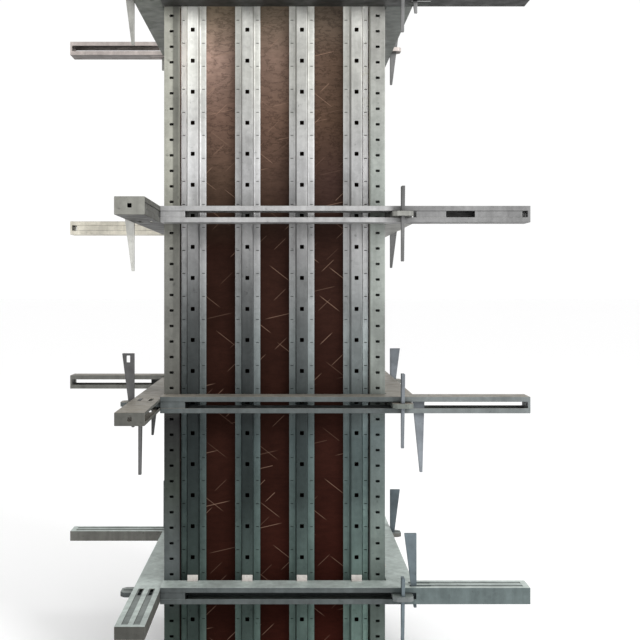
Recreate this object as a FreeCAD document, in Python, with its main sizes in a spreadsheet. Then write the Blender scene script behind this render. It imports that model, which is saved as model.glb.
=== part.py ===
"""Square column form: plywood faces, pressed steel studs, and clamp bars locked by wedges.

The frame stands at the foot of the form, on the column's axis: +X to the right of the
front face, +Y to the back, +Z up. All lengths are in millimetres.
"""
import FreeCAD
import Part
import Sketcher
import os

SIZES = {
    # Form: the cast column, and the plywood that faces it.
    "form_height": 2440,
    "cavity_width": 610,
    "plywood_thickness": 12,
    # Hat-shaped stud: depth off the plywood, width over its flanges, width of its crown.
    "stud_depth": 42,
    "stud_base": 82,
    "stud_crown": 34,
    "stud_foot": 44,
    "stud_sheet": 2.5,
    "stud_hole": 13,
    "stud_hole_pitch": 100,
    "stud_hole_margin": 100,
    # Box-shaped corner stud on each upright edge of the side panels, and the lip of its
    # front sheet over the edge of the board.
    "corner_width": 39,
    "corner_lip": 9,
    "corner_slot_width": 13,
    "corner_slot_height": 8,
    "corner_slot_pitch": 50,
    "corner_slot_margin": 45,
    # Clamp bar: two shallow folded rails, one above the other, joined at both ends. A few
    # bars are of a lower kind.
    "clamp_reach": 805,
    "clamp_depth": 86,
    "clamp_height": 52,
    "low_clamp_height": 38,
    "rail_gap": 20,
    "rail_sheet": 3,
    "head_block": 78,
    "end_plate": 8,
    "end_hole": 12,
    # Tongue: the flat that passes through the next bar and takes a wedge.
    "tongue_width": 64,
    "tongue_thickness": 15,
    "tongue_reach": 42,
    "tongue_corner": 12,
    "tongue_slot_length": 35,
    "slot_lap": 4,
    # Slots through the rails of an arm, and the swaged grooves of the lowest bars.
    "arm_slot_start": 428,
    "arm_slot_end": 496,
    "arm_slot_offset": 17,
    "groove_width": 18,
    "groove_depth": 1.8,
    "groove_end": 785,
    # Plates that close the arms of the upper and the lowest bars, and a window in one.
    "cover_start": 446,
    "recessed_cover_gap": 17,
    "window_start": 540,
    "window_end": 631,
    # Wedge: a flat taper; the kind with a hole near its head is the rarer one.
    "wedge_length": 235,
    "wedge_head": 39,
    "wedge_tip": 9,
    "wedge_thickness": 10,
    "wedge_hole_width": 12,
    "wedge_hole_height": 22,
    "wedge_hole_margin": 7,
    "wedge_clearance": 0.3,
    "wedge_side_play": 0.3,
    "leaning_wedge_out": 30,
    # Angle clip between the lowest bar and the crown of a stud.
    "clip_width": 34,
    "clip_height": 18,
    "clip_foot": 15,
    "clip_sheet": 3,
    # Height of each clamp's mid-plane above the form's foot; the top one's is below its head.
    "base_clamp": 300,
    "lower_clamp": 900,
    "upper_clamp": 1500,
    "top_clamp_drop": 240,
}

SIDES = ("front", "right", "back", "left")
LEVELS = ("base", "lower", "upper", "top")

# How far each wedge's head stands above the mid-plane of its clamp; a missing one is None.
TONGUE_WEDGE_HEADS = {
    "base": {"front": None, "right": 63, "back": 174, "left": 120},
    "lower": {"front": 160, "right": 100, "back": 129, "left": 110},
    "upper": {"front": 56, "right": 86, "back": 80, "left": 90},
    "top": {"front": 75, "right": 105, "back": 100, "left": 95},
}
ARM_WEDGE_HEADS = {
    "base": {"front": 192, "right": 190, "back": 205, "left": None},
    "lower": {"front": 20, "right": 24, "back": 20, "left": 20},
    "upper": {"front": None, "right": None, "back": None, "left": None},
    "top": {"front": 172, "right": 150, "back": 160, "left": None},
}

# Arm wedges that aren't driven in: one against the outer end of its slot, one leaning.
LOOSE_ARM_WEDGE = ("lower", "back")
LEANING_ARM_WEDGE = ("lower", "front")
WEDGE_LEAN_DEGREES = 1.6

HOLED_TONGUE_WEDGE = ("lower", "front")
LOW_CLAMPS = {("base", "left"), ("base", "back"), ("lower", "left")}

HALF_CAVITY = "sizes.cavity_width / 2"
STUD_SPACING = "((sizes.cavity_width - sizes.stud_base) / 3)"
PLY_FACE = f"({HALF_CAVITY} + sizes.plywood_thickness)"
CROWN_FACE = f"({PLY_FACE} + sizes.stud_depth)"
CLAMP_FACE = f"({CROWN_FACE} + sizes.clamp_depth)"
CLAMP_LENGTH = f"({CROWN_FACE} + sizes.clamp_reach)"
HALF_CLAMP = "(sizes.clamp_height / 2)"
HALF_GAP = "(sizes.rail_gap / 2)"
HALF_WEDGE_SLOT = "(sizes.wedge_thickness / 2 + sizes.wedge_side_play)"

doc = FreeCAD.newDocument("column_form")
sheet = doc.addObject("Spreadsheet::Sheet", "sizes")


def fill_sheet():
    """Write every driving size, and each wedge's stand-up height, into the sheet."""
    entries = dict(SIZES)
    for kind, table in (("tongue", TONGUE_WEDGE_HEADS), ("arm", ARM_WEDGE_HEADS)):
        for level, heads in table.items():
            for side, head in heads.items():
                if head is not None:
                    entries[head_alias(kind, level, side)] = head
    for row, (alias, number) in enumerate(entries.items(), start=1):
        sheet.set(f"A{row}", str(number))
        sheet.setAlias(f"A{row}", alias)
    doc.recompute()


def head_alias(kind, level, side):
    return f"{kind}_wedge_{level}_{side}"


def value(expression):
    """The number that an expression on the sheet gives now."""
    return float(sheet.evalExpression(expression))


def mid_plane(level):
    """The height of a level's clamps; the top ones keep their place below the form's head."""
    if level == "top":
        return "(sizes.form_height - sizes.top_clamp_drop)"
    return f"sizes.{level}_clamp"


def half_height(level, side):
    """Half the height of a clamp bar, up from its mid-plane."""
    if (level, side) in LOW_CLAMPS:
        return "(sizes.low_clamp_height / 2)"
    return HALF_CLAMP


def inside_rail(half):
    """How far the hollow of a rail reaches from the mid-plane of a bar."""
    return f"({half} - sizes.rail_sheet)"


def new_body(name):
    body = doc.addObject("PartDesign::Body", name)
    body.Label = name
    body.AllowCompound = True
    return body


def new_sketch(body, role, offset="0"):
    """A sketch on one of the body's own origin planes, moved along that plane's normal."""
    plane = next(item for item in body.Origin.OriginFeatures if item.Role == role)
    sketch = body.newObject("Sketcher::SketchObject", f"{body.Name}_sketch")
    sketch.AttachmentSupport = [(plane, "")]
    sketch.MapMode = "FlatFace"
    sketch.setExpression("AttachmentOffset.Base.z", offset)
    return sketch


def add_outline(sketch, corners):
    """A closed outline whose every corner is held by two sizes from the sketch's origin."""
    points = [FreeCAD.Vector(value(across), value(along), 0) for across, along in corners]
    first = sketch.GeometryCount
    count = len(points)
    following = points[1:] + points[:1]
    sketch.addGeometry([Part.LineSegment(start, end) for start, end in zip(points, following)])
    joints = []
    rules = []
    expressions = []
    for index, corner in enumerate(corners):
        line = first + index
        after = first + (index + 1) % count
        joints.append(Sketcher.Constraint("Coincident", line, 2, after, 1))
        for direction, coordinate, expression in zip("XY", points[index], corner):
            rules.append(Sketcher.Constraint(f"Distance{direction}", -1, 1, line, 1, coordinate))
            expressions.append(expression)
    sketch.addConstraint(joints)
    numbers = sketch.addConstraint(rules)
    for number, expression in zip(numbers, expressions):
        sketch.setExpression(f"Constraints[{number}]", expression)


def rectangle(low_across, high_across, low_along, high_along):
    return [
        (low_across, low_along),
        (high_across, low_along),
        (high_across, high_along),
        (low_across, high_along),
    ]


def pad(body, sketch, length, both_ways=False):
    feature = body.newObject("PartDesign::Pad", f"{body.Name}_pad")
    feature.Profile = sketch
    feature.setExpression("Length", length)
    feature.SideType = "Symmetric" if both_ways else "One side"


def pocket(body, sketch, depth, both_ways=False, reverse=False):
    feature = body.newObject("PartDesign::Pocket", f"{body.Name}_pocket")
    feature.Profile = sketch
    feature.setExpression("Length", depth)
    feature.SideType = "Symmetric" if both_ways else "One side"
    feature.Reversed = reverse
    return feature


def repeat_upwards(body, feature, pitch, margin):
    """Repeat a cut along the stud at its pitch, as often as fits in the form's height."""
    pattern = body.newObject("PartDesign::LinearPattern", f"{body.Name}_pattern")
    pattern.Originals = [feature]
    axis = next(item for item in body.Origin.OriginFeatures if item.Role == "Z_Axis")
    pattern.Direction = (axis, [""])
    count = f"floor((sizes.form_height - 2 * {margin}) / {pitch}) + 1"
    pattern.setExpression("Occurrences", count)
    pattern.setExpression("Length", f"{pitch} * floor((sizes.form_height - 2 * {margin}) / {pitch})")
    body.Tip = pattern


def turned(across, along, side):
    """A place given in the front side's frame, turned to another side of the column."""
    quarter = SIDES.index(side)
    return [
        (across, along),
        (f"-({along})", across),
        (f"-({across})", f"-({along})"),
        (along, f"-({across})"),
    ][quarter]


def put(item, across, along, up, angle, lean):
    """Place an object by three expressions, a turn about the column's axis and a lean."""
    turn = FreeCAD.Rotation(FreeCAD.Vector(0, 0, 1), angle)
    tilt = FreeCAD.Rotation(FreeCAD.Vector(0, 1, 0), lean)
    item.Placement = FreeCAD.Placement(FreeCAD.Vector(0, 0, 0), turn * tilt)
    item.setExpression("Placement.Base.x", across)
    item.setExpression("Placement.Base.y", along)
    item.setExpression("Placement.Base.z", up)


def put_on_side(item, side, across, along, up="0", angle=0, lean=0):
    item_x, item_y = turned(across, along, side)
    put(item, item_x, item_y, up, 90 * SIDES.index(side) + angle, lean)


def make_plywood(side):
    """Front and back boards sit between the side boards, which reach out to the lips."""
    between = side in ("front", "back")
    half_width = HALF_CAVITY if between else f"({CROWN_FACE} - sizes.stud_sheet)"
    board = doc.addObject("Part::Box", f"plywood_{side}")
    board.Label = board.Name
    board.setExpression("Length", f"2 * {half_width}")
    board.setExpression("Width", "sizes.plywood_thickness")
    board.setExpression("Height", "sizes.form_height")
    put_on_side(board, side, f"-{half_width}", f"-{PLY_FACE}")
    return board


def make_stud(name, side, place):
    """A hat section pressed from sheet, its crown outwards, with a row of square holes."""
    body = new_body(name)
    half_base = "sizes.stud_base / 2"
    half_crown = "sizes.stud_crown / 2"
    half_foot = "sizes.stud_foot / 2"
    sheet_metal = "sizes.stud_sheet"
    depth = "sizes.stud_depth"
    web_lean = f"(({half_foot} - {half_crown}) / {depth})"
    skin = f"({sheet_metal} * sqrt(1 + {web_lean} ^ 2))"
    inner_foot = f"({half_foot} - {skin})"
    inner_crown = f"({half_crown} - {skin} + {sheet_metal} * {web_lean})"
    outer_toe = f"({half_foot} - {sheet_metal} * {web_lean})"
    right_half = [
        (inner_foot, "0"),
        (half_base, "0"),
        (half_base, f"-{sheet_metal}"),
        (outer_toe, f"-{sheet_metal}"),
        (half_crown, f"-{depth}"),
    ]
    inside = [(inner_crown, f"-({depth} - {sheet_metal})")]
    mirrored = [(f"-{across}", along) for across, along in right_half]
    inside_left = [(f"-{across}", along) for across, along in inside]
    section = right_half + mirrored[::-1] + inside_left + inside
    sketch = new_sketch(body, "XY_Plane")
    add_outline(sketch, section)
    pad(body, sketch, "sizes.form_height")
    cut_hole_row(body, depth)
    put_on_side(body, side, place, f"-{PLY_FACE}")
    return body


def cut_hole_row(body, depth):
    """Square holes up the crown of a hat stud."""
    half_hole = "sizes.stud_hole / 2"
    margin = "sizes.stud_hole_margin"
    sketch = new_sketch(body, "XZ_Plane", f"{depth} + 1")
    low = f"{margin} - {half_hole}"
    high = f"{margin} + {half_hole}"
    add_outline(sketch, rectangle(f"-{half_hole}", half_hole, low, high))
    hole = pocket(body, sketch, "sizes.stud_sheet + 2")
    repeat_upwards(body, hole, "sizes.stud_hole_pitch", margin)


def make_corner_stud(name, side, hand):
    """A box on the outer face of a side board, its slotted front sheet lipped over the edge."""
    body = new_body(name)
    sign = "-1" if hand == "left" else "1"
    width = "sizes.corner_width"
    metal = "sizes.stud_sheet"
    depth = "sizes.stud_depth"
    section = [
        (f"-{sign} * sizes.corner_lip", "0"),
        (f"{sign} * {width}", "0"),
        (f"{sign} * {width}", depth),
        ("0", depth),
        ("0", metal),
        (f"-{sign} * sizes.corner_lip", metal),
    ]
    hollow = rectangle(f"{sign} * {metal}", f"{sign} * ({width} - {metal})", metal, f"{depth} - {metal}")
    sketch = new_sketch(body, "XY_Plane")
    add_outline(sketch, section)
    add_outline(sketch, hollow)
    pad(body, sketch, "sizes.form_height")
    cut_slot_row(body, sign)
    put_on_side(body, side, f"{sign} * {PLY_FACE}", f"-{CROWN_FACE}")
    return body


def cut_slot_row(body, sign):
    """Short slots up the front sheet of a corner stud."""
    middle = f"{sign} * (sizes.corner_width - sizes.corner_lip) / 2"
    half_width = "sizes.corner_slot_width / 2"
    half_height = "sizes.corner_slot_height / 2"
    margin = "sizes.corner_slot_margin"
    sketch = new_sketch(body, "XZ_Plane", "1")
    low = f"{margin} - {half_height}"
    high = f"{margin} + {half_height}"
    outline = rectangle(f"{middle} - {half_width}", f"{middle} + {half_width}", low, high)
    add_outline(sketch, outline)
    slot = pocket(body, sketch, "sizes.stud_sheet + 2")
    repeat_upwards(body, slot, "sizes.corner_slot_pitch", margin)


def rail_section(sign, half):
    """One folded rail seen along the bar: a web outwards, and two lips towards the gap."""
    metal = "sizes.rail_sheet"
    depth = "sizes.clamp_depth"
    web = f"({sign} * {half})"
    web_inside = f"({sign} * {inside_rail(half)})"
    lip = f"({sign} * {HALF_GAP})"
    return [
        (f"-{depth}", lip),
        (f"-{depth}", web),
        ("0", web),
        ("0", lip),
        (f"-{metal}", lip),
        (f"-{metal}", web_inside),
        (f"-({depth} - {metal})", web_inside),
        (f"-({depth} - {metal})", lip),
    ]


def make_clamp(level, side):
    """A bar that bears on the crowns; its tongue and its arm interlock with the next bars."""
    body = new_body(f"clamp_{side}_{level}")
    half = half_height(level, side)
    add_rails(body, half)
    add_head_block(body, half)
    add_tongue(body)
    add_end_plate(body, half)
    cut_arm_slots(body)
    if level == "upper":
        add_recessed_covers(body, side == "front")
    if level == "base":
        add_flush_covers(body)
        cut_grooves(body, half)
    else:
        cut_end_hole(body)
    put_on_side(body, side, f"-{CROWN_FACE}", f"-{CROWN_FACE}", mid_plane(level))
    return body


def add_rails(body, half):
    sketch = new_sketch(body, "YZ_Plane")
    add_outline(sketch, rail_section("1", half))
    add_outline(sketch, rail_section("-1", half))
    pad(body, sketch, f"{CLAMP_LENGTH} - sizes.end_plate")


def add_head_block(body, half):
    """A block that fills the bar's section between the sheets of its rails."""
    sketch = new_sketch(body, "YZ_Plane")
    metal = "sizes.rail_sheet"
    near = f"-(sizes.clamp_depth - {metal})"
    reach = inside_rail(half)
    add_outline(sketch, rectangle(near, f"-{metal}", f"-{reach}", reach))
    pad(body, sketch, "sizes.head_block")


def add_end_plate(body, half):
    """A flat plate that closes the end of the arm over its whole section."""
    sketch = new_sketch(body, "YZ_Plane", f"{CLAMP_LENGTH} - sizes.end_plate")
    add_outline(sketch, rectangle("-sizes.clamp_depth", "0", f"-{half}", half))
    pad(body, sketch, "sizes.end_plate")


def add_tongue(body):
    """A flat with cut corners, from the head block past the next bar, slotted for a wedge."""
    half_width = "sizes.tongue_width / 2"
    middle = "sizes.clamp_depth / 2"
    half_slot = HALF_WEDGE_SLOT
    tip = "-(sizes.clamp_depth + sizes.tongue_reach)"
    slot_start = "-(sizes.clamp_depth - sizes.slot_lap)"
    slot_end = f"{slot_start} - sizes.tongue_slot_length - sizes.slot_lap"
    sketch = new_sketch(body, "XY_Plane")
    outer_side = f"-({middle} + {half_width})"
    inner_side = f"-({middle} - {half_width})"
    root = "sizes.head_block / 2"
    shoulder = f"{tip} + sizes.tongue_corner"
    flat = [
        (root, outer_side),
        (root, inner_side),
        (shoulder, inner_side),
        (tip, f"{inner_side} - sizes.tongue_corner"),
        (tip, f"{outer_side} + sizes.tongue_corner"),
        (shoulder, outer_side),
    ]
    add_outline(sketch, flat)
    slot_sides = (f"-({middle} + {half_slot})", f"-({middle} - {half_slot})")
    add_outline(sketch, rectangle(slot_end, slot_start, *slot_sides))
    pad(body, sketch, "sizes.tongue_thickness", both_ways=True)


def slot_lines(sketch, half_slot, end):
    """Two slots side by side along the arm, each side of the bar's centre line."""
    start = f"{CROWN_FACE} + sizes.arm_slot_start"
    for sign in ("-", "+"):
        centre = f"-sizes.clamp_depth / 2 {sign} sizes.arm_slot_offset"
        low = f"{centre} - {half_slot}"
        high = f"{centre} + {half_slot}"
        add_outline(sketch, rectangle(start, f"{CROWN_FACE} + {end}", low, high))


def cut_arm_slots(body):
    sketch = new_sketch(body, "XY_Plane")
    slot_lines(sketch, HALF_WEDGE_SLOT, "sizes.arm_slot_end")
    pocket(body, sketch, "sizes.clamp_height + 2", both_ways=True)


def cut_grooves(body, half):
    """Shallow grooves pressed along the arm, in line with its slots, above and below."""
    sketch = new_sketch(body, "XY_Plane", half)
    slot_lines(sketch, "sizes.groove_width / 2", "sizes.groove_end")
    pocket(body, sketch, "sizes.groove_depth")
    below = new_sketch(body, "XY_Plane", f"-{half}")
    slot_lines(below, "sizes.groove_width / 2", "sizes.groove_end")
    pocket(body, below, "sizes.groove_depth", reverse=True)


def cut_end_hole(body):
    half_hole = "sizes.end_hole / 2"
    middle = "sizes.clamp_depth / 2"
    sketch = new_sketch(body, "YZ_Plane", CLAMP_LENGTH)
    low = f"-{middle} - {half_hole}"
    high = f"-{middle} + {half_hole}"
    add_outline(sketch, rectangle(low, high, f"-{half_hole}", half_hole))
    pocket(body, sketch, "sizes.end_plate + 1")


def new_cover(body, face, end, half_height):
    """The sketch of a plate that closes one face of the arm, past the next bar's tongue."""
    sketch = new_sketch(body, "XZ_Plane", face)
    start = f"{CROWN_FACE} + sizes.cover_start"
    add_outline(sketch, rectangle(start, end, f"-{half_height}", half_height))
    return sketch


def add_flush_covers(body):
    """Covers between the lips of the rails, out to the plate at the arm's end."""
    for face in ("0", "sizes.clamp_depth - sizes.rail_sheet"):
        cover = new_cover(body, face, f"{CLAMP_LENGTH} - sizes.end_plate", HALF_GAP)
        pad(body, cover, "sizes.rail_sheet")


def add_recessed_covers(body, with_window):
    """Covers behind the lips, short of the arm's end; the outer one may have a window."""
    end = f"{CLAMP_LENGTH} - sizes.end_plate - sizes.recessed_cover_gap"
    reach = inside_rail(HALF_CLAMP)
    inner = new_cover(body, "sizes.rail_sheet", end, reach)
    pad(body, inner, "sizes.rail_sheet")
    outer = new_cover(body, "sizes.clamp_depth - 2 * sizes.rail_sheet", end, reach)
    if with_window:
        window_start = f"{CROWN_FACE} + sizes.window_start"
        window_end = f"{CROWN_FACE} + sizes.window_end"
        add_outline(outer, rectangle(window_start, window_end, f"-{HALF_GAP}", HALF_GAP))
    pad(body, outer, "sizes.rail_sheet")


def make_wedge(name, holed):
    """A flat taper, one edge upright; its frame is at the head of the upright edge."""
    body = new_body(name)
    outline = [
        ("0", "0"),
        ("sizes.wedge_head", "0"),
        ("sizes.wedge_tip", "-sizes.wedge_length"),
        ("0", "-sizes.wedge_length"),
    ]
    sketch = new_sketch(body, "XZ_Plane")
    add_outline(sketch, outline)
    if holed:
        hole_low = "-(sizes.wedge_hole_margin + sizes.wedge_hole_height)"
        hole_left = "(sizes.wedge_head - sizes.wedge_hole_width) / 2"
        hole_right = f"{hole_left} + sizes.wedge_hole_width"
        add_outline(sketch, rectangle(hole_left, hole_right, hole_low, "-sizes.wedge_hole_margin"))
    pad(body, sketch, "sizes.wedge_thickness", both_ways=True)
    return body


def put_tongue_wedge(wedge, level, side):
    """Upright edge against the outer face of the next bar, through the tongue's slot."""
    up = f"{mid_plane(level)} + sizes.{head_alias('tongue', level, side)}"
    centre = f"-({CROWN_FACE} + sizes.clamp_depth / 2)"
    put_on_side(wedge, side, f"-{CLAMP_FACE}", centre, up, 180)


def put_arm_wedge(wedge, level, side):
    """Slanted edge against the side of the next bar's tongue, through an arm slot."""
    head = f"sizes.{head_alias('arm', level, side)}"
    taper = "((sizes.wedge_head - sizes.wedge_tip) / sizes.wedge_length)"
    width_there = f"(sizes.wedge_head - {taper} * ({head} - sizes.tongue_thickness / 2))"
    tongue_side = f"({CROWN_FACE} + sizes.clamp_depth / 2 + sizes.tongue_width / 2)"
    upright = f"{tongue_side} + sizes.wedge_clearance + {width_there}"
    lean = 0
    if (level, side) == LOOSE_ARM_WEDGE:
        upright = "sizes.arm_slot_end - sizes.wedge_clearance"
    if (level, side) == LEANING_ARM_WEDGE:
        upright = f"{CLAMP_FACE} + sizes.leaning_wedge_out"
        lean = -WEDGE_LEAN_DEGREES
    line = f"-({CROWN_FACE} + sizes.clamp_depth / 2 + sizes.arm_slot_offset)"
    put_on_side(wedge, side, upright, line, f"{mid_plane(level)} + {head}", 180, lean)


def make_wedges(kind, table, level, put_wedge):
    """All wedges of one kind at one level, as one group of separate solids."""
    wedges = []
    for side in SIDES:
        if table[level][side] is not None:
            holed = kind == "tongue" and (level, side) == HOLED_TONGUE_WEDGE
            wedge = make_wedge(f"{kind}_wedge_{side}_{level}", holed)
            put_wedge(wedge, level, side)
            wedges.append(wedge)
    return group(f"{kind}_wedges_{level}", wedges)


def group(name, members):
    whole = doc.addObject("Part::Compound", name)
    whole.Label = name
    whole.Links = members
    return whole


def make_clip(name, side, place):
    """A small angle that stands on the lowest bar against the crown of a stud."""
    body = new_body(name)
    metal = "sizes.clip_sheet"
    section = [
        ("0", "0"),
        ("0", "sizes.clip_height"),
        (f"-{metal}", "sizes.clip_height"),
        (f"-{metal}", metal),
        ("-sizes.clip_foot", metal),
        ("-sizes.clip_foot", "0"),
    ]
    sketch = new_sketch(body, "YZ_Plane")
    add_outline(sketch, section)
    pad(body, sketch, "sizes.clip_width", both_ways=True)
    up = f"{mid_plane('base')} + {half_height('base', side)}"
    put_on_side(body, side, place, f"-{CROWN_FACE}", up)
    return body


def stud_places(side):
    """Four studs fill the width in front and behind; a flank has three, equally spaced."""
    if side in ("front", "back"):
        steps = (-1.5, -0.5, 0.5, 1.5)
    else:
        steps = (-1, 0, 1)
    return [f"({step} * {STUD_SPACING})" for step in steps]


def build():
    """Every sub-part of the form, in the order that it is put together."""
    parts = [make_plywood(side) for side in SIDES]
    clips = []
    for side in SIDES:
        for number, place in enumerate(stud_places(side), start=1):
            parts.append(make_stud(f"stud_{side}_{number}", side, place))
            clips.append(make_clip(f"clip_{side}_{number}", side, place))
    for side in ("front", "back"):
        for hand in ("left", "right"):
            parts.append(make_corner_stud(f"corner_stud_{side}_{hand}", side, hand))
    for level in LEVELS:
        for side in SIDES:
            parts.append(make_clamp(level, side))
        parts.append(make_wedges("tongue", TONGUE_WEDGE_HEADS, level, put_tongue_wedge))
        if any(head is not None for head in ARM_WEDGE_HEADS[level].values()):
            parts.append(make_wedges("arm", ARM_WEDGE_HEADS, level, put_arm_wedge))
    parts.append(group("stud_clips", clips))
    return parts


def check(parts):
    """Stop if a feature failed or a sub-part has no valid solid."""
    for item in doc.Objects:
        if "Invalid" in item.State or "Error" in item.State:
            raise RuntimeError(f"{item.Name} failed: {item.State}")
    for part in parts:
        if part.Shape.isNull() or not part.Shape.isValid() or not part.Shape.Solids:
            raise RuntimeError(f"{part.Label} has no valid shape")


def export(parts):
    os.makedirs("parts", exist_ok=True)
    for part in parts:
        part.Shape.exportStep(f"parts/{part.Label}.step")


fill_sheet()
all_parts = build()
doc.recompute()
check(all_parts)
export(all_parts)
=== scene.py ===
"""Looks of the column form: galvanised steel, film-faced plywood, screws, camera and light."""
import math

import bmesh
import bpy
from mathutils import Matrix, Vector


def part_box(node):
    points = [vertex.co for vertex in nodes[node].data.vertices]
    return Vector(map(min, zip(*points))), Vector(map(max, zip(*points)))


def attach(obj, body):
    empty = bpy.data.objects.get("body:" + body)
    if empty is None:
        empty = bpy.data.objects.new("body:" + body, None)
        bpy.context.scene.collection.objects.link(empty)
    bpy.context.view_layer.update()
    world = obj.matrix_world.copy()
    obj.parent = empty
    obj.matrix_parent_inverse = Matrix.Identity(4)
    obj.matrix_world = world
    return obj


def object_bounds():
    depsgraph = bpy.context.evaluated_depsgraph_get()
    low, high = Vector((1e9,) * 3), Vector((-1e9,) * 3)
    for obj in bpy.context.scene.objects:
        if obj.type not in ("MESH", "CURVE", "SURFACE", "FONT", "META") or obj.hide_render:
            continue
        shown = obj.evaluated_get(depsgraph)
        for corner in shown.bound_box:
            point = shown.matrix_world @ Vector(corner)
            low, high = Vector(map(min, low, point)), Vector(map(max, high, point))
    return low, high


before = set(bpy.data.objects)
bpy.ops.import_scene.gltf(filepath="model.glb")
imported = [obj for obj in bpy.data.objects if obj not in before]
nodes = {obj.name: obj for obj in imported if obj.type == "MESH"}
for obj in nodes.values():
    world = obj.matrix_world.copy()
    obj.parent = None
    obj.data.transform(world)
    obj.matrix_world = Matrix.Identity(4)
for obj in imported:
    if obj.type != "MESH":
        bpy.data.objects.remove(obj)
cad_low, cad_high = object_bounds()

SIDES = ("front", "right", "back", "left")
LEVELS = ("base", "lower", "upper", "top")

# The form's height, the distance from its axis to the faces of its boards, and the thickness
# and the depth of the studs on them, in metres.
FORM_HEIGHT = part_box("plywood_front")[1][2]
PLYWOOD_FACE = -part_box("plywood_front")[0][1]
STUD_SHEET = 0.0025
STUD_DEPTH = 0.042

# The photograph's viewpoint, in metres, and the point of its frame that the lens axis meets.
IMAGE_SIZE = 640
EYE = Vector((0.040, -3.790, 1.274))
FOCAL_PIXELS = 1065
AXIS_PIXEL = (287, 286)
SENSOR = 36.0
FAR_LIMIT = 300

# Studio: the floor, how bright the white surround is, and each lamp's place, aim, size and
# watts.
FLOOR_SIZE = 200
FLOOR_GAP = 0.0005
FLOOR_COLOUR = (0.97, 0.97, 0.97, 1)
SURROUND_STRENGTH = 1.02
LAMPS = {
    "key": ((4.2, -4.4, 3.6), (0, 0, 1.4), (2.0, 2.0), 330),
    "fill": ((-3.8, -4.2, 2.4), (0, 0, 1.2), (2.5, 3.0), 40),
}

# Screws along the flanges of the studs: how far in from a flange's free edge they stand, how
# far up the first one is and how far apart they are, the size of a head and the corners of its
# outline, how wide and how proud its rims are as shares of that size, and how dark it is
# against the stud.
FLANGE_LINE = 0.009
FIRST_SCREW = 0.040
SCREW_PITCH = 0.075
SCREW_LENGTH = 0.011
SCREW_WIDTH = 0.003
SCREW_RISE = 0.0008
SCREW_STEPS = 10
SCREW_RIMS = ((1.0, 0.0), (1.0, 0.6), (0.8, 1.0))
SCREW_SHADE = 0.55

# Rounding of the folded and cut steel edges, the sharpest fold in degrees that stays as it
# is, and how close corners lie that are joined first.
EDGE_ROUNDING = 0.0016
ROUNDING_STEPS = 2
FLAT_ENOUGH = 40
WELD_REACH = 0.00001

# Steel tones as screen colours, each at a height up the form in metres. Their rise towards
# the head is partly the steel's own tone and partly painted light, and the corner studs on the
# left and on the right differ partly in their own tone and partly by painted light and shade.
STUD_TONES = (
    (0.20, (75, 90, 85)),
    (0.78, (70, 80, 80)),
    (1.10, (110, 115, 115)),
    (1.40, (140, 140, 140)),
    (1.65, (160, 160, 160)),
    (1.98, (165, 165, 160)),
    (2.12, (185, 185, 180)),
)
CORNER_TONES = {
    "left": (
        (0.20, (50, 60, 55)),
        (0.38, (85, 90, 90)),
        (0.62, (55, 60, 55)),
        (0.84, (45, 45, 45)),
        (0.92, (95, 95, 90)),
        (1.30, (115, 115, 110)),
        (1.62, (155, 155, 145)),
        (2.00, (165, 165, 155)),
    ),
    "right": (
        (0.20, (85, 95, 90)),
        (0.45, (105, 115, 110)),
        (0.82, (95, 105, 105)),
        (0.95, (125, 130, 125)),
        (1.35, (145, 150, 145)),
        (1.62, (145, 150, 145)),
        (2.05, (155, 155, 150)),
    ),
}
CLIP_TONE = (200, 195, 190)

# Tones of the bars: their sides, the arms of the front ones, and their tops. Each bar's tone is
# partly its own and partly the painted light and shade that falls on it, and the tops carry
# painted light. The shades say how many times lighter than the sides the undersides and the
# ends are, on most bars and on the few that differ, as painted shade and light. A front bar
# turns into its arm between two places across the form.
CLAMP_TONES = {
    "base": {
        "front": (80, 85, 85),
        "right": (120, 125, 125),
        "back": (115, 115, 110),
        "left": (100, 100, 95),
    },
    "lower": {
        "front": (85, 90, 90),
        "right": (120, 125, 120),
        "back": (120, 120, 115),
        "left": (105, 105, 100),
    },
    "upper": {
        "front": (160, 160, 160),
        "right": (150, 150, 145),
        "back": (230, 225, 210),
        "left": (100, 100, 95),
    },
    "top": {
        "front": (150, 150, 145),
        "right": (120, 125, 120),
        "back": (205, 195, 190),
        "left": (140, 145, 135),
    },
}
ARM_TONES = {
    "base": (95, 105, 105),
    "lower": (110, 115, 115),
    "upper": (125, 125, 125),
    "top": (95, 100, 95),
}
ARM_TURN = (0.36, 0.40)
TOP_TONES = {
    "base": (190, 200, 195),
    "lower": (140, 135, 125),
    "upper": (185, 185, 180),
    "top": (170, 170, 165),
}
UNDER_SHADE = 0.8
UNDER_SHADES = {
    ("upper", "left"): 0.3,
    ("top", "front"): 0.12,
    ("top", "right"): 0.65,
    ("top", "back"): 0.3,
    ("top", "left"): 0.45,
}
END_SHADE = {"base": 0.75, "lower": 0.75, "upper": 0.9, "top": 0.8}
END_SHADES = {
    ("base", "left"): 0.6,
    ("upper", "back"): 0.8,
    ("upper", "left"): 1.7,
}

# The grooves in the tops of the base bars: their depth, and the painted shade on their floors.
GROOVE_DEPTH = 0.0018
GROOVE_SHADE = 0.42

# Tones of the wedges on the left and on the right of the form, and where across it the one
# turns into the other. The tones hold painted light and shade as well as the wedges' own tone.
WEDGE_TONES = {
    "base": ((105, 110, 115), (100, 110, 115)),
    "lower": ((90, 90, 90), (120, 125, 130)),
    "upper": ((190, 190, 185), (105, 105, 105)),
    "top": ((160, 160, 155), (120, 120, 120)),
}
WEDGE_TURN = (-0.40, 0.40)

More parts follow.
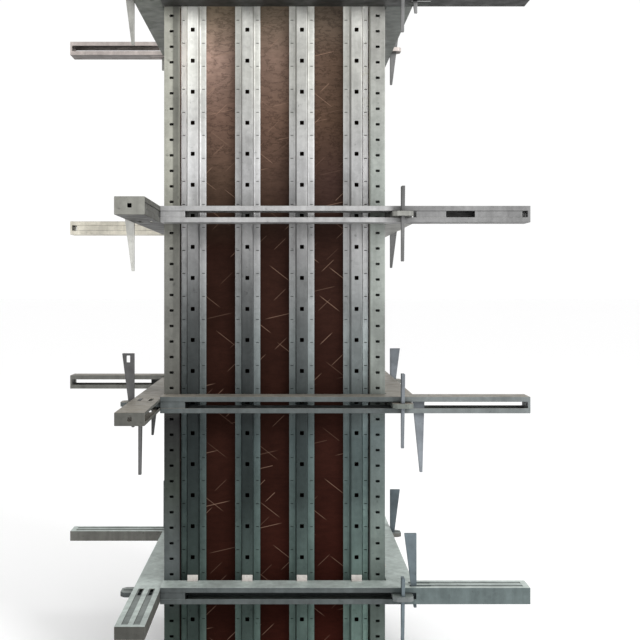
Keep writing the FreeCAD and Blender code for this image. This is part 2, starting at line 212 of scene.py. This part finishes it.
# Film on the plywood: tones up the left and up the right of the form, where across it the
# one turns into the other, and the tone of the scratches. Their lightness towards the head is
# painted glare.
LEFT_FILM_TONES = (
    (0.20, (35, 15, 10)),
    (1.40, (35, 20, 15)),
    (1.62, (70, 55, 45)),
    (1.82, (95, 75, 65)),
    (2.02, (120, 100, 90)),
    (2.20, (100, 90, 75)),
)
RIGHT_FILM_TONES = (
    (0.20, (40, 15, 10)),
    (1.40, (40, 25, 20)),
    (1.62, (55, 40, 35)),
    (1.82, (65, 50, 40)),
    (2.02, (75, 60, 50)),
    (2.20, (90, 80, 70)),
)
FILM_TURN = (-0.20, 0.18)
SCRATCH_TONE = (130, 105, 90)

# The sealed edges of the side boards against the corner studs beside them.
EDGE_SEAL_SHADE = 0.55

# Scratches in the film: the lean, the half length and the half width of each kind.
SCRATCH_KINDS = (
    (-38, 0.044, 0.0013),
    (13, 0.048, 0.0013),
    (44, 0.030, 0.0012),
)

# How far a face looks along an axis, as a share, where a tone for that way begins and where
# it has come in full.
FACING_START = 0.4
FACING_FULL = 0.9


def srgb(red, green, blue):
    """A colour given as screen values from 0 to 255, in linear light."""
    channels = []
    for screen in (red, green, blue):
        share = screen / 255
        channels.append(share / 12.92 if share <= 0.04045 else ((share + 0.055) / 1.055) ** 2.4)
    return (*channels, 1.0)


class Shader:
    """A node material, with short calls for the nodes that this scene uses."""

    def __init__(self, name):
        self.material = bpy.data.materials.new(name)
        self.material.use_nodes = True
        self.tree = self.material.node_tree
        self.surface = self.tree.nodes["Principled BSDF"]
        self.place = self.add("ShaderNodeTexCoord").outputs["Object"]
        axes = self.axes(self.place)
        self.across = axes["X"]
        self.deep = axes["Y"]
        self.up = axes["Z"]

    def add(self, kind, **settings):
        """A new node of a kind, with its settings."""
        node = self.tree.nodes.new(kind)
        for key, setting in settings.items():
            setattr(node, key, setting)
        return node

    def join(self, source, socket):
        """Feed a socket from another node's output, or set it to a number or a colour."""
        if isinstance(source, bpy.types.NodeSocket):
            self.tree.links.new(source, socket)
        else:
            socket.default_value = source

    def axes(self, vector):
        """A vector's X, Y and Z."""
        node = self.add("ShaderNodeSeparateXYZ")
        self.join(vector, node.inputs["Vector"])
        return node.outputs

    def stretched(self, stretch):
        """The place on the form, scaled along each axis."""
        mapping = self.add("ShaderNodeMapping")
        self.join(self.place, mapping.inputs["Vector"])
        self.join(stretch, mapping.inputs["Scale"])
        return mapping.outputs["Vector"]

    def noise(self, scale, detail, roughness=0.55, stretch=(1, 1, 1)):
        """Cloudy values from 0 to 1."""
        node = self.add("ShaderNodeTexNoise")
        self.join(self.stretched(stretch), node.inputs["Vector"])
        self.join(scale, node.inputs["Scale"])
        self.join(detail, node.inputs["Detail"])
        self.join(roughness, node.inputs["Roughness"])
        return node.outputs["Fac"]

    def spangle(self, scale):
        """A random value for each grain of the zinc."""
        node = self.add("ShaderNodeTexVoronoi")
        self.join(self.place, node.inputs["Vector"])
        self.join(scale, node.inputs["Scale"])
        parts = self.add("ShaderNodeSeparateColor")
        self.join(node.outputs["Color"], parts.inputs["Color"])
        return parts.outputs[0]

    def spread(self, source, low, high, new_low, new_high):
        """A value from low to high, spread over new_low to new_high and held there."""
        node = self.add("ShaderNodeMapRange")
        for name, setting in (
            ("Value", source),
            ("From Min", low),
            ("From Max", high),
            ("To Min", new_low),
            ("To Max", new_high),
        ):
            self.join(setting, node.inputs[name])
        return node.outputs["Result"]

    def ramp(self, source, start, end):
        """From 0 at the start to 1 at the end."""
        return self.spread(source, start, end, 0.0, 1.0)

    def math(self, operation, first, second=0.0):
        node = self.add("ShaderNodeMath", operation=operation)
        self.join(first, node.inputs[0])
        self.join(second, node.inputs[1])
        return node.outputs["Value"]

    def absolute(self, source):
        return self.math("ABSOLUTE", source)

    def product(self, *factors):
        total = factors[0]
        for factor in factors[1:]:
            total = self.math("MULTIPLY", total, factor)
        return total

    def tones(self, stops):
        """Colours up the form, each given at its height in metres."""
        share = self.ramp(self.up, 0.0, FORM_HEIGHT)
        node = self.add("ShaderNodeValToRGB")
        self.join(share, node.inputs["Fac"])
        points = node.color_ramp.elements
        while len(points) < len(stops):
            points.new(0.5)
        for point, (height, tone) in zip(points, stops):
            point.position = height / FORM_HEIGHT
            point.color = srgb(*tone)
        return node.outputs["Color"]

    def sideways(self, start, end, left, right):
        """One colour on the left of the form that turns into another on its right."""
        return self.mix(self.ramp(self.across, start, end), left, right)

    def faced(self, axis, way=1):
        """From 0 to 1 as a face turns to look along an axis, or against it if way is -1."""
        normal = self.add("ShaderNodeNewGeometry").outputs["Normal"]
        return self.ramp(self.axes(normal)[axis], way * FACING_START, way * FACING_FULL)

    def shade(self, amount, factor):
        """A factor of 1 where the amount is 0, and the given one where it is 1."""
        return self.spread(amount, 0.0, 1.0, 1.0, factor)

    def mix(self, factor, first, second):
        node = self.add("ShaderNodeMix", data_type="RGBA")
        self.join(factor, node.inputs["Factor"])
        self.join(first, node.inputs[6])
        self.join(second, node.inputs[7])
        return node.outputs[2]

    def scaled(self, colour, factor):
        """A colour made lighter or darker by a factor."""
        node = self.add("ShaderNodeVectorMath", operation="SCALE")
        self.join(colour, node.inputs[0])
        self.join(factor, node.inputs["Scale"])
        return node.outputs["Vector"]

    def painted_crevice_shade(self, reach, darkest):
        """A factor of painted shade that darkens corners and gaps, where less light reaches."""
        node = self.add("ShaderNodeAmbientOcclusion", samples=8)
        self.join(reach, node.inputs["Distance"])
        return self.spread(node.outputs["AO"], 0.25, 0.95, darkest, 1.0)

    def bump(self, source, strength, distance):
        node = self.add("ShaderNodeBump")
        self.join(source, node.inputs["Height"])
        self.join(strength, node.inputs["Strength"])
        self.join(distance, node.inputs["Distance"])
        self.join(node.outputs["Normal"], self.surface.inputs["Normal"])


def galvanised(name, tone, grime=0.25, shades=()):
    """Zinc-coated steel: a tone, or tones up the form, with spangle, streaks and grime,
    and painted shade in its corners and gaps.
    """
    shader = Shader(name)
    flecks = shader.spread(shader.spangle(95.0), 0.0, 1.0, 0.94, 1.05)
    runs = shader.spread(shader.noise(9.0, 5.0, 0.6, (4, 4, 0.35)), 0.35, 0.7, 0.82, 1.06)
    blotches = shader.spread(shader.noise(7.0, 6.0, 0.65), 0.45, 0.66, 1.0, 1.0 - grime)
    specks = shader.spread(shader.noise(60.0, 2.0), 0.68, 0.76, 1.0, 0.7)
    # The last factor is painted shade in corners and gaps.
    factor = shader.product(flecks, runs, blotches, specks, shader.painted_crevice_shade(0.02, 0.8))
    for shade in shades:
        factor = shader.product(factor, shade(shader))
    colour = shader.scaled(tone(shader), factor)
    shader.join(colour, shader.surface.inputs["Base Color"])
    roughness = shader.spread(shader.noise(24.0, 3.0), 0.3, 0.7, 0.42, 0.62)
    shader.join(roughness, shader.surface.inputs["Roughness"])
    shader.join(0.45, shader.surface.inputs["Metallic"])
    shader.join(0.12, shader.surface.inputs["Specular IOR Level"])
    shader.bump(shader.noise(160.0, 3.0), 0.12, 0.0006)
    return shader.material


def off_boards(shader, start, end):
    """From 0 to 1 between two distances off the faces of the boards."""
    outwards = shader.math("MAXIMUM", shader.absolute(shader.across), shader.absolute(shader.deep))
    return shader.ramp(outwards, PLYWOOD_FACE + start, PLYWOOD_FACE + end)


def on_flanges(shader, factor):
    """A factor on the flanges that lie on the boards, and 1 on the webs and the crowns."""
    return shader.shade(off_boards(shader, STUD_SHEET + 0.010, STUD_SHEET + 0.001), factor)


def on_front(shader):
    """1 on the front of the form, and 0 on its other sides."""
    return shader.ramp(shader.deep, 0.015 - PLYWOOD_FACE, -PLYWOOD_FACE)


def painted_side_light(shader):
    """Low on the form, crowns get painted shade towards its left and painted light to its right."""
    left_shade, right_shade, flange_share = 0.38, 1.6, 0.5
    place = shader.math("POWER", shader.ramp(shader.across, -0.30, 0.30), 1.4)
    sideways = shader.spread(place, 0.0, 1.0, left_shade, right_shade)
    low = shader.ramp(shader.up, 1.55, 1.15)
    return shader.shade(shader.product(low, on_flanges(shader, flange_share)), sideways)


def painted_flange_light(shader):
    """Painted light on the flanges, which shows them lighter than the crowns."""
    return on_flanges(shader, 1.6)


def darker_crowns(shader):
    """Crowns are darker between the upper and the base clamps, most of all in the middle."""
    middle_shade, side_shade, foot_share = 0.42, 0.66, 0.2
    below = shader.ramp(shader.up, 1.45, 1.15)
    above = shader.spread(shader.up, 0.40, 0.60, foot_share, 1.0)
    crown = off_boards(shader, STUD_DEPTH - 0.008, STUD_DEPTH - 0.002)
    shade = shader.spread(shader.absolute(shader.across), 0.12, 0.25, middle_shade, side_shade)
    return shader.shade(shader.product(below, above, crown), shade)


def shaded_lip(shader):
    """Painted shade on the lip of the left corner stud, darker than its face, most of all near the head.
    """
    lip_shade, foot_share = 0.48, 0.2
    lip = shader.ramp(shader.across, -0.330, -0.326)
    left = shader.ramp(shader.across, 0.0, -0.2)
    high = shader.spread(shader.up, 1.1, 1.6, foot_share, 1.0)
    return shader.shade(shader.product(on_front(shader), lip, left, high), lip_shade)


def lit_outer_flanges(shader):
    """Painted light on the front's outermost flanges, most of all on the right one."""
    right_shade, left_share = 2.5, 0.3
    left = shader.product(shader.ramp(shader.across, -0.280, -0.288), left_share)
    right = shader.ramp(shader.across, 0.280, 0.288)
    outer = shader.math("ADD", left, right)
    return shader.shade(shader.product(on_front(shader), outer), right_shade)


def painted_left_glare(shader):
    """Painted glare up the front's left edge, most of all near the head."""
    edge_shade, foot_share = 2.5, 0.1
    left = shader.ramp(shader.across, -0.235, -0.31)
    high = shader.spread(shader.up, 1.0, 1.9, foot_share, 1.0)
    return shader.shade(shader.product(on_front(shader), left, high), edge_shade)


def film_plywood(name, with_edges):
    """Phenolic film on plywood: dark at the foot, lighter at the head with painted glare, with
    painted shade in its corners, and scratched all over.
    """
    shader = Shader(name)
    grain = shader.spread(shader.noise(30.0, 8.0, 0.75, (1, 1, 3.0)), 0.3, 0.7, 0.78, 1.22)
    patches = shader.spread(shader.noise(6.0, 4.0, 0.6, (1, 1, 0.6)), 0.35, 0.65, 0.84, 1.16)
    worn = shader.product(creases(shader), bleaching(shader))
    # The last factor is painted shade in corners and gaps.
    factor = shader.product(grain, patches, worn, shader.painted_crevice_shade(0.05, 0.6))
    left = shader.tones(LEFT_FILM_TONES)
    right = shader.tones(RIGHT_FILM_TONES)
    colour = shader.scaled(shader.sideways(*FILM_TURN, left, right), factor)
    for lean, length, width in SCRATCH_KINDS:
        colour = shader.mix(scratches(shader, lean, length, width), colour, srgb(*SCRATCH_TONE))
    if with_edges:
        sealed = shader.scaled(shader.tones(CORNER_TONES["left"]), EDGE_SEAL_SHADE)
        for way in (-1, 1):
            colour = shader.mix(shader.faced("Y", way), colour, sealed)
    shader.join(colour, shader.surface.inputs["Base Color"])
    shader.join(0.7, shader.surface.inputs["Roughness"])
    shader.join(0.02, shader.surface.inputs["Specular IOR Level"])
    shader.bump(shader.noise(55.0, 8.0, 0.7), 0.35, 0.0012)
    return shader.material


def creases(shader):
    """Dark wavy lines across the film near the head of the form, where it is painted lighter."""
    ripple = shader.noise(17.0, 6.0, 0.65, (1, 1, 2.2))
    off_line = shader.absolute(shader.math("SUBTRACT", ripple, 0.5))
    depth = shader.spread(off_line, 0.0, 0.035, 0.62, 1.04)
    return shader.shade(shader.ramp(shader.up, 1.45, 1.75), depth)


def bleaching(shader):
    """Paler patches near the head, on the left of the boards."""
    patch_shade = 1.45
    high = shader.ramp(shader.up, 1.80, 1.98)
    left = shader.ramp(shader.across, -0.12, -0.20)
    patch = shader.ramp(shader.noise(8.0, 4.0, 0.6, (1, 1, 0.6)), 0.46, 0.58)
    return shader.shade(shader.product(high, left, patch), patch_shade)


def scratches(shader, lean, length, width):
    """Straight pale scratches with one lean, in half of the cells of an uneven grid."""
    cell_length = 3.2 * length
    cell_width = 2.0 * length
    flat = shader.add("ShaderNodeCombineXYZ")
    shader.join(shader.math("ADD", shader.across, shader.deep), flat.inputs["X"])
    shader.join(shader.up, flat.inputs["Y"])
    mapping = shader.add("ShaderNodeMapping", vector_type="TEXTURE")
    shader.join(flat.outputs["Vector"], mapping.inputs["Vector"])
    shader.join((0.0, 0.0, math.radians(lean)), mapping.inputs["Rotation"])
    shader.join((cell_length, cell_width, 1.0), mapping.inputs["Scale"])
    cells = shader.add("ShaderNodeTexVoronoi", voronoi_dimensions="2D")
    shader.join(mapping.outputs["Vector"], cells.inputs["Vector"])
    shader.join(1.0, cells.inputs["Scale"])
    offset = shader.add("ShaderNodeVectorMath", operation="SUBTRACT")
    shader.join(mapping.outputs["Vector"], offset.inputs[0])
    shader.join(cells.outputs["Position"], offset.inputs[1])
    away = shader.axes(offset.outputs["Vector"])
    along = shader.absolute(shader.product(away["X"], cell_length))
    aside = shader.absolute(shader.product(away["Y"], cell_width))
    line = shader.ramp(aside, 1.2 * width, 0.4 * width)
    ends = shader.ramp(along, length, 0.6 * length)
    parts = shader.add("ShaderNodeSeparateColor")
    shader.join(cells.outputs["Color"], parts.inputs["Color"])
    chosen = shader.ramp(parts.outputs[0], 0.50, 0.52)
    strength = shader.spread(parts.outputs[1], 0.0, 1.0, 0.12, 0.6)
    return shader.product(line, ends, chosen, strength)


def even(tone):
    """One tone all over."""
    return lambda shader: srgb(*tone)[:3]


def upwards(stops):
    """Tones that change up the form."""
    return lambda shader: shader.tones(stops)


def across_form(left, right):
    """Tones that change from the left of the form to its right."""
    return lambda shader: shader.sideways(*WEDGE_TURN, srgb(*left), srgb(*right))


def paint(obj, material):
    """Give a piece one material and no other."""
    obj.data.materials.clear()
    obj.data.materials.append(material)


def paint_plywood():
    """The upright edges of the side boards show beside the corner studs and are sealed."""
    between = film_plywood("film_faced_plywood", with_edges=False)
    outer = film_plywood("edged_plywood", with_edges=True)
    for side in SIDES:
        paint(nodes[f"plywood_{side}"], between if side in ("front", "back") else outer)


def paint_studs():
    """Studs and corner studs darken towards the foot and carry painted light and shade on their
    crowns, flanges, lips and edges; the clips stay pale.
    """
    stud_shades = (painted_side_light, painted_flange_light, darker_crowns, lit_outer_flanges, painted_left_glare)
    stud = galvanised("galvanised_stud", upwards(STUD_TONES), shades=stud_shades)
    corners = {
        hand: galvanised(f"galvanised_corner_{hand}", upwards(stops), shades=(shaded_lip,))
        for hand, stops in CORNER_TONES.items()
    }
    paint(nodes["stud_clips"], galvanised("galvanised_clip", even(CLIP_TONE)))
    for name, obj in nodes.items():
        if name.startswith("corner_stud_"):
            paint(obj, corners[name.split("_")[-1]])
        elif name.startswith("stud_") and name != "stud_clips":
            paint(obj, stud)


def bar_tone(level, side):
    """The tone of a bar's sides, with its arm's if it is a front one, and its top's, which is painted
    light.
    """
    def tone(shader):
        sides = srgb(*CLAMP_TONES[level][side])
        if side == "front":
            sides = shader.sideways(*ARM_TURN, sides, srgb(*ARM_TONES[level]))
        return shader.mix(shader.faced("Z"), sides, srgb(*TOP_TONES[level]))
    return tone


def bar_shades(level, side):
    """The painted shade and light of a bar's underside and ends, and the painted shade in its
    grooves if it is a base one.
    """
    end_axis = "X" if side in ("front", "back") else "Y"
    under = UNDER_SHADES.get((level, side), UNDER_SHADE)
    end = END_SHADES.get((level, side), END_SHADE[level])
    shades = [
        lambda shader: shader.shade(shader.faced("Z", way=-1), under),
        lambda shader: shader.shade(shader.faced(end_axis), end),
        lambda shader: shader.shade(shader.faced(end_axis, way=-1), end),
    ]
    if level == "base":
        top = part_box(f"clamp_{side}_{level}")[1][2]
        shades.append(lambda shader: groove_shade(shader, top))
    return shades


def groove_shade(shader, top):
    """Painted shade on the floors of the grooves in the top of a bar."""
    sunk = shader.ramp(shader.up, top - 0.4 * GROOVE_DEPTH, top - 0.8 * GROOVE_DEPTH)
    return shader.shade(shader.product(sunk, shader.faced("Z")), GROOVE_SHADE)


def paint_clamps():
    """Each bar has its own tone of zinc, which holds painted light and shade as well; those on the
    left are a little warmer.
    """
    for level in LEVELS:
        for side in SIDES:
            name = f"clamp_{side}_{level}"
            zinc = galvanised(f"galvanised_{name}", bar_tone(level, side), shades=bar_shades(level, side))
            paint(nodes[name], zinc)


def paint_wedges():
    """The wedges of one level share their tones."""
    for level in LEVELS:
        tone = across_form(*WEDGE_TONES[level])
        wedge = galvanised(f"galvanised_wedge_{level}", tone, grime=0.35)
        for kind in ("tongue", "arm"):
            name = f"{kind}_wedges_{level}"
            if name in nodes:
                paint(nodes[name], wedge)


def soften_edges():
    """Pressed and cut edges get a small rounding that catches the light."""
    for name, obj in nodes.items():
        if name.startswith("plywood"):
            continue
        weld = obj.modifiers.new("weld", "WELD")
        weld.merge_threshold = WELD_REACH
        rounding = obj.modifiers.new("rounding", "BEVEL")
        rounding.width = EDGE_ROUNDING
        rounding.segments = ROUNDING_STEPS
        rounding.limit_method = "ANGLE"
        rounding.angle_limit = math.radians(FLAT_ENOUGH)
        rounding.use_clamp_overlap = True


def turn(side):
    """The turn about the form's axis that takes its front to the given side."""
    return Matrix.Rotation(math.radians(90 * SIDES.index(side)), 4, "Z")


def flange_lines(side):
    """Where the screws stand across one side of the form: a line for each stud's flange."""
    lines = []
    for name in sorted(nodes):
        if name.startswith(f"stud_{side}_"):
            corners = [turn(side).inverted() @ Vector(corner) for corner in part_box(name)]
            near, far = sorted(corner.x for corner in corners)
            lines.extend((near + FLANGE_LINE, far - FLANGE_LINE))
    return lines


def add_screw(mesh, centre):
    """A low oval head, longer across the flange than up it, on the flange's face."""
    rims = []
    for share, rise in SCREW_RIMS:
        rim = []
        for step in range(SCREW_STEPS):
            angle = 2 * math.pi * step / SCREW_STEPS
            across = share * SCREW_LENGTH / 2 * math.cos(angle)
            up = share * SCREW_WIDTH / 2 * math.sin(angle)
            rim.append(mesh.verts.new(centre + Vector((across, -rise * SCREW_RISE, up))))
        rims.append(rim)
    for low, high in zip(rims, rims[1:]):
        for step in range(SCREW_STEPS):
            after = (step + 1) % SCREW_STEPS
            mesh.faces.new((low[step], low[after], high[after], high[step]))
    mesh.faces.new(rims[-1])
    mesh.faces.new(rims[0][::-1])


def add_screws():
    """Rows of flange screws on every side, one object a side."""
    # The screws share the studs' tones with their painted side light and shade, made darker.
    zinc = galvanised("screw_zinc", upwards(STUD_TONES), shades=(painted_side_light, lambda shader: SCREW_SHADE))
    flange_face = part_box("plywood_front")[0][1] - STUD_SHEET
    count = int((FORM_HEIGHT - 2 * FIRST_SCREW) / SCREW_PITCH) + 1
    for side in SIDES:
        mesh = bmesh.new()
        for across in flange_lines(side):
            for number in range(count):
                add_screw(mesh, Vector((across, flange_face, FIRST_SCREW + number * SCREW_PITCH)))
        bmesh.ops.transform(mesh, matrix=turn(side), verts=mesh.verts)
        bmesh.ops.recalc_face_normals(mesh, faces=mesh.faces)
        data = bpy.data.meshes.new(f"flange_screws_{side}")
        mesh.to_mesh(data)
        mesh.free()
        screws = bpy.data.objects.new(data.name, data)
        bpy.context.collection.objects.link(screws)
        paint(screws, zinc)
        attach(screws, "root")


def make_floor():
    """A pale floor, just under the form's foot."""
    bpy.ops.mesh.primitive_plane_add(size=FLOOR_SIZE, location=(0, 0, cad_low[2] - FLOOR_GAP))
    floor = bpy.context.object
    floor.name = "floor"
    shader = Shader("pale_floor")
    shader.join(FLOOR_COLOUR, shader.surface.inputs["Base Color"])
    shader.join(1.0, shader.surface.inputs["Roughness"])
    paint(floor, shader.material)


def area_light(name, place, aim, size, power):
    """A soft rectangular lamp that shines from its place at its aim."""
    data = bpy.data.lights.new(name, "AREA")
    data.shape = "RECTANGLE"
    data.size, data.size_y = size
    data.energy = power
    lamp = bpy.data.objects.new(name, data)
    bpy.context.collection.objects.link(lamp)
    lamp.location = place
    lamp.rotation_euler = (Vector(aim) - Vector(place)).to_track_quat("-Z", "Y").to_euler()


def light_scene():
    """A white surround, with the main light from the right."""
    world = bpy.data.worlds.new("studio")
    bpy.context.scene.world = world
    world.use_nodes = True
    background = world.node_tree.nodes["Background"]
    background.inputs["Color"].default_value = (1, 1, 1, 1)
    background.inputs["Strength"].default_value = SURROUND_STRENGTH
    for name, settings in LAMPS.items():
        area_light(name, *settings)
    bpy.context.scene.view_settings.view_transform = "Standard"


def make_camera():
    """The camera stands level where the photograph was taken from."""
    data = bpy.data.cameras.new("camera")
    data.sensor_width = SENSOR
    data.lens = FOCAL_PIXELS / IMAGE_SIZE * SENSOR
    data.shift_x = (IMAGE_SIZE / 2 - AXIS_PIXEL[0]) / IMAGE_SIZE
    data.shift_y = (AXIS_PIXEL[1] - IMAGE_SIZE / 2) / IMAGE_SIZE
    data.clip_end = FAR_LIMIT
    camera = bpy.data.objects.new("camera", data)
    bpy.context.collection.objects.link(camera)
    camera.location = EYE
    camera.rotation_euler = (math.radians(90), 0, 0)
    bpy.context.scene.camera = camera


make_camera()
light_scene()
make_floor()
paint_plywood()
paint_studs()
paint_clamps()
paint_wedges()
soften_edges()
add_screws()
